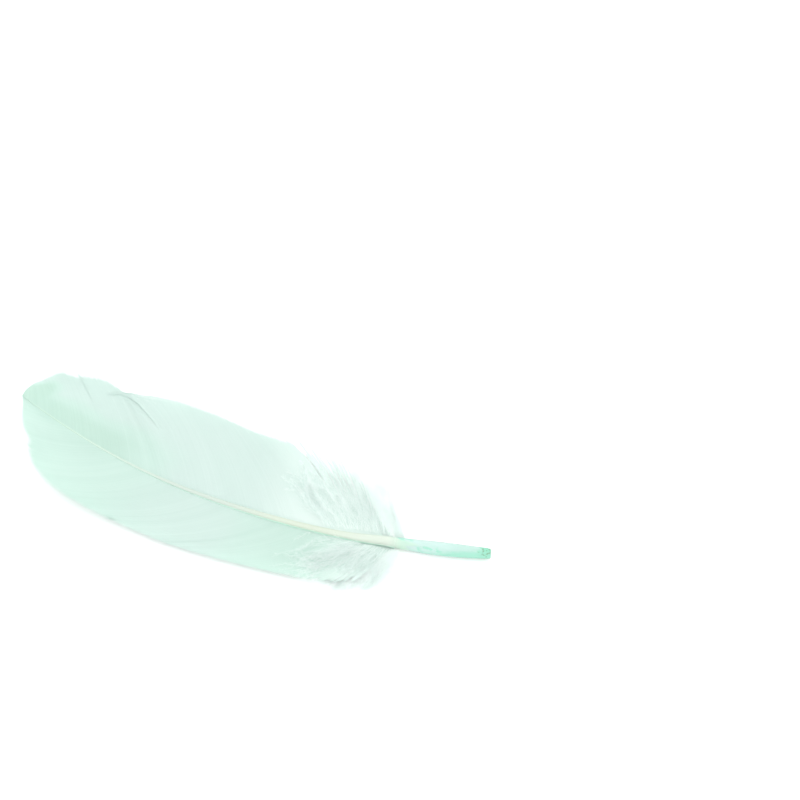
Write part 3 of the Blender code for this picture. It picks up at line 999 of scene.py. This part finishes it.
def spikes(start, heading, droop, length, radius, rings=3):
    # thin pointed hairs from start, bending towards droop: (count, vertices, 3) and faces
    ringOf, sideOf, faces = coneTemplate(3, rings)
    share = (ringOf / (rings - 1))[None, :, None]
    bow = heading[:, None] * share + droop[:, None] * share**2
    centre = start[:, None] + bow * length[:, None, None]
    sideA = unit(np.cross(heading, np.array([0.31, 0.17, 0.93])))
    sideB = unit(np.cross(heading, sideA))
    angle = (sideOf * 2 * math.pi / 3)[None, :, None]
    taper = (1 - 0.55 * share) * (ringOf < rings - 1)[None, :, None]
    ring = sideA[:, None] * np.cos(angle) + sideB[:, None] * np.sin(angle)
    return centre + ring * taper * np.reshape(radius, (-1, 1, 1)), faces


def makeDown(name, fluff):
    paths, lengths, draw = downStems(fluff)
    stems, rings = paths.shape[:2]
    tangents = unit(np.gradient(paths, axis=1))

    ringOf, sideOf, stemFaces = coneTemplate(3, rings)
    level = np.array([0.0, 0.0, 1.0])
    sideA = unit(np.cross(tangents, level))
    sideB = np.cross(tangents, sideA)
    angle = (sideOf * 2 * math.pi / 3)[None, :, None]
    taper = downMake["stemRadius"] * (1 - 0.75 * ringOf / (rings - 1)) * (ringOf < rings - 1)
    turned = sideA[:, ringOf] * np.cos(angle) + sideB[:, ringOf] * np.sin(angle)
    stemPoints = paths[:, ringOf] + turned * taper[None, :, None]
    stemTone = np.repeat(draw.random(stems)[:, None], len(ringOf), axis=1)

    count = downMake["barbules"]
    at = np.sort(draw.random((stems, count)), axis=1) ** 0.65 * 0.97 + 0.02
    step = at * (rings - 1)
    low = np.clip(step.astype(int), 0, rings - 2)
    part = (step - low)[..., None]
    row = np.arange(stems)[:, None]
    start = paths[row, low] * (1 - part) + paths[row, low + 1] * part
    heading = unit(tangents[row, low] * (1 - part) + tangents[row, low + 1] * part)
    across = unit(np.cross(heading, level))
    over = np.cross(across, heading)
    roll = draw.choice([0.0, math.pi], (stems, count)) + draw.normal(0, 0.75, (stems, count))
    outward = across * np.cos(roll)[..., None] + over * np.sin(roll)[..., None]
    lean = np.radians(draw.normal(*downMake["lean"], (stems, count)))[..., None]
    direction = unit(heading * np.cos(lean) + outward * np.sin(lean))
    length = downMake["barbuleLength"] * (1 - 0.5 * at) * draw.uniform(0.55, 1.2, (stems, count))
    length = length * (0.4 + 0.6 * smoothStep(at / 0.15))
    length = length * np.clip(lengths[:, None] / downMake["fullStem"], 0.45, 1)
    bend = heading * 0.35 + draw.normal(0, 0.22, (stems, count, 3))
    points, faces = spikes(
        start.reshape(-1, 3), direction.reshape(-1, 3), bend.reshape(-1, 3), length.ravel(),
        np.full(stems * count, downMake["barbuleRadius"]),
    )
    points[..., 2] = np.maximum(points[..., 2], downMake["floorGap"])
    stemPoints[..., 2] = np.maximum(stemPoints[..., 2], downMake["floorGap"])
    nearQuill = 1 - row / stems
    tone = draw.random((stems, count)) * 0.6 + 0.4 * nearQuill
    tone = np.repeat(tone.ravel()[:, None], points.shape[1], axis=1)

    half = len(points) // 2
    return (
        joinedMesh(name + "_stems", stemPoints, stemFaces, {"tone": stemTone}, sharpOver=0),
        joinedMesh(name + "_quill_end", points[:half], faces, {"tone": tone[:half]}, sharpOver=0),
        joinedMesh(name + "_vane_end", points[half:], faces, {"tone": tone[half:]}, sharpOver=0),
    )


# The camera, the floor and the light

view = {
    "azimuth": 18.9,             # degrees, round from looking along +Y
    "elevation": 60.0,
    "distance": 597.0 * mm,
    "looksAt": (33.5 * mm, 47.1 * mm, 0.0),
    "lens": 85.0,
    "sensor": 36.0,
    "nearest": 0.01,
}


def makeCamera():
    azimuth, elevation = math.radians(view["azimuth"]), math.radians(view["elevation"])
    back = Vector((
        math.sin(azimuth) * math.cos(elevation),
        -math.cos(azimuth) * math.cos(elevation),
        math.sin(elevation),
    ))
    data = bpy.data.cameras.new("camera")
    data.lens = view["lens"]
    data.sensor_width = view["sensor"]
    data.clip_start = view["nearest"]
    camera = bpy.data.objects.new("camera", data)
    bpy.context.scene.collection.objects.link(camera)
    camera.location = Vector(view["looksAt"]) + back * view["distance"]
    camera.rotation_euler = (-back).to_track_quat("-Z", "Y").to_euler()
    bpy.context.scene.camera = camera


studio = {
    "floor": rgb(0.94, 0.94, 0.94),
    "floorSize": 8.0,
    "air": 1.6,                  # light from all round
    "lampPower": 1.6,
    "lampPlace": (-0.25, 0.5, 1.0),
    "lampSize": 0.8,
}


def makeStudio():
    bm = bmesh.new()
    bmesh.ops.create_grid(bm, x_segments=1, y_segments=1, size=studio["floorSize"] / 2)
    mesh = bpy.data.meshes.new("floor")
    bm.to_mesh(mesh)
    bm.free()
    floor = bpy.data.objects.new("floor", mesh)
    bpy.context.scene.collection.objects.link(floor)
    finish = Finish("pale_floor")
    shader = finish.node("ShaderNodeBsdfDiffuse", {}, {"Color": studio["floor"]})
    mesh.materials.append(finish.output(shader))

    world = bpy.data.worlds.new("soft_studio")
    bpy.context.scene.world = world
    world.use_nodes = True
    air = world.node_tree.nodes["Background"]
    air.inputs["Color"].default_value = rgb(1.0, 1.0, 1.0)
    air.inputs["Strength"].default_value = studio["air"]

    lamp = bpy.data.lights.new("lamp", "AREA")
    lamp.energy = studio["lampPower"]
    lamp.size = studio["lampSize"]
    lampObj = bpy.data.objects.new("lamp", lamp)
    bpy.context.scene.collection.objects.link(lampObj)
    lampObj.location = studio["lampPlace"]
    lampObj.rotation_euler = (-Vector(studio["lampPlace"])).to_track_quat("-Z", "Y").to_euler()
    bpy.context.scene.view_settings.view_transform = "Standard"


print("camera and studio")
makeCamera()
makeStudio()

print("vanes")
plumage = plumageMaterial("dyed_vane", plumageLook)
standIn(makeVane("trailing_vane", trailingVane), plumage)
standIn(makeVane("leading_vane", leadingVane), plumage)

print("shaft and quill")
standIn(makeShaft(), shaftMaterial("horn_shaft", shaftLook))
standIn(makeQuill(), quillMaterial("clear_horn", quillLook))
standIn(makePith(), pithMaterial("dry_pith", pithLook))

print("down")
fluffy = downMaterial("down", downLook)
for name, fluff in (("trailing_down", trailingDown), ("leading_down", leadingDown)):
    for piece in makeDown(name, fluff):
        standIn(piece, fluffy)
